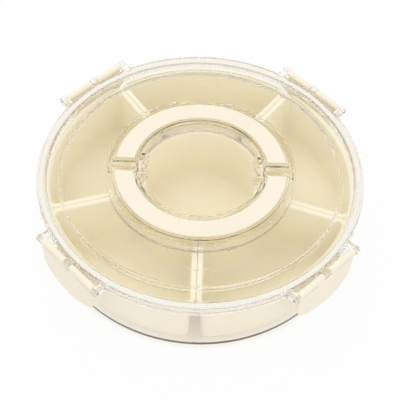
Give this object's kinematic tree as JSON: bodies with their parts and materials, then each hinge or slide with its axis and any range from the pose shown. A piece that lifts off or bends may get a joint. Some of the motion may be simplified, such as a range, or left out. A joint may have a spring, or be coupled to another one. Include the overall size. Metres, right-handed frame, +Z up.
{
  "type": "tool storage caddy",
  "caption": "Round clear storage box with lift-out wedge bins, a centre cup, a clear lid with four side latches and a fold-flat carry handle.",
  "frame": {"origin": "centre of the underside, on the surface that the box stands on", "axes": "+Z up; X along the hinge line of the two handle halves; -Y is the front, where two bins meet"},
  "size_m": [0.3, 0.3, 0.0756],
  "materials": {
    "clear_plastic": "clear, polished",
    "bin_plastic": "satin cream",
    "cream_plastic": "satin cream",
    "seal_silicone": "translucent white"
  },
  "bodies": {
    "tray": {"base_tray": "clear_plastic"},
    "right_bin": {"bin_right": "bin_plastic"},
    "rear_bin": {"bin_rear": "bin_plastic"},
    "left_bin": {"bin_left": "bin_plastic"},
    "front_left_bin": {"bin_front_left": "bin_plastic"},
    "front_right_bin": {"bin_front_right": "bin_plastic"},
    "cup": {"centre_cup": "bin_plastic"},
    "lid": {"lid": "clear_plastic", "lid_seal": "seal_silicone", "latch_pin_rear_right": "clear_plastic", "latch_pin_rear_left": "clear_plastic", "latch_pin_front_left": "clear_plastic", "latch_pin_front_right": "clear_plastic"},
    "rear_right_latch": {"latch_rear_right": "cream_plastic"},
    "rear_left_latch": {"latch_rear_left": "cream_plastic"},
    "front_left_latch": {"latch_front_left": "cream_plastic"},
    "front_right_latch": {"latch_front_right": "cream_plastic"},
    "rear_handle": {"rear_handle_frame": "clear_plastic", "rear_handle_cover": "cream_plastic", "rear_handle_pins": "clear_plastic"},
    "front_handle": {"front_handle_frame": "clear_plastic", "front_handle_cover": "cream_plastic", "front_handle_pins": "clear_plastic"}
  },
  "joints": [
    {"name": "lid_lift", "type": "slide", "parent": "tray", "child": "lid", "axis": [0, 0, 1], "range_m": [0, 0.15]},
    {"name": "right_bin_lift", "type": "slide", "parent": "tray", "child": "right_bin", "axis": [0, 0, 1], "range_m": [0, 0.075]},
    {"name": "rear_bin_lift", "type": "slide", "parent": "tray", "child": "rear_bin", "axis": [0, 0, 1], "range_m": [0, 0.075]},
    {"name": "left_bin_lift", "type": "slide", "parent": "tray", "child": "left_bin", "axis": [0, 0, 1], "range_m": [0, 0.075]},
    {"name": "front_left_bin_lift", "type": "slide", "parent": "tray", "child": "front_left_bin", "axis": [0, 0, 1], "range_m": [0, 0.075]},
    {"name": "front_right_bin_lift", "type": "slide", "parent": "tray", "child": "front_right_bin", "axis": [0, 0, 1], "range_m": [0, 0.075]},
    {"name": "cup_lift", "type": "slide", "parent": "tray", "child": "cup", "axis": [0, 0, 1], "range_m": [0, 0.09]},
    {"name": "rear_right_latch_hinge", "type": "hinge", "parent": "lid", "child": "rear_right_latch", "pos_m": [0.10925, 0.10925, 0.0699], "axis": [0.7071, -0.7071, 0], "range_deg": [0, 110]},
    {"name": "rear_left_latch_hinge", "type": "hinge", "parent": "lid", "child": "rear_left_latch", "pos_m": [-0.10925, 0.10925, 0.0699], "axis": [0.7071, 0.7071, 0], "range_deg": [0, 110]},
    {"name": "front_left_latch_hinge", "type": "hinge", "parent": "lid", "child": "front_left_latch", "pos_m": [-0.10925, -0.10925, 0.0699], "axis": [-0.7071, 0.7071, 0], "range_deg": [0, 110]},
    {"name": "front_right_latch_hinge", "type": "hinge", "parent": "lid", "child": "front_right_latch", "pos_m": [0.10925, -0.10925, 0.0699], "axis": [-0.7071, -0.7071, 0], "range_deg": [0, 110]},
    {"name": "rear_handle_hinge", "type": "hinge", "parent": "lid", "child": "rear_handle", "pos_m": [0, 0.01, 0.0707], "axis": [1, 0, 0], "range_deg": [0, 90]},
    {"name": "front_handle_hinge", "type": "hinge", "parent": "lid", "child": "front_handle", "pos_m": [0, -0.01, 0.0707], "axis": [-1, 0, 0], "range_deg": [0, 90]}
  ],
  "couplings": [
    {"joint": "right_bin_lift", "follows": "lid_lift", "ratio": 0.5},
    {"joint": "rear_bin_lift", "follows": "lid_lift", "ratio": 0.5},
    {"joint": "left_bin_lift", "follows": "lid_lift", "ratio": 0.5},
    {"joint": "front_left_bin_lift", "follows": "lid_lift", "ratio": 0.5},
    {"joint": "front_right_bin_lift", "follows": "lid_lift", "ratio": 0.5},
    {"joint": "cup_lift", "follows": "lid_lift", "ratio": 0.6}
  ]
}
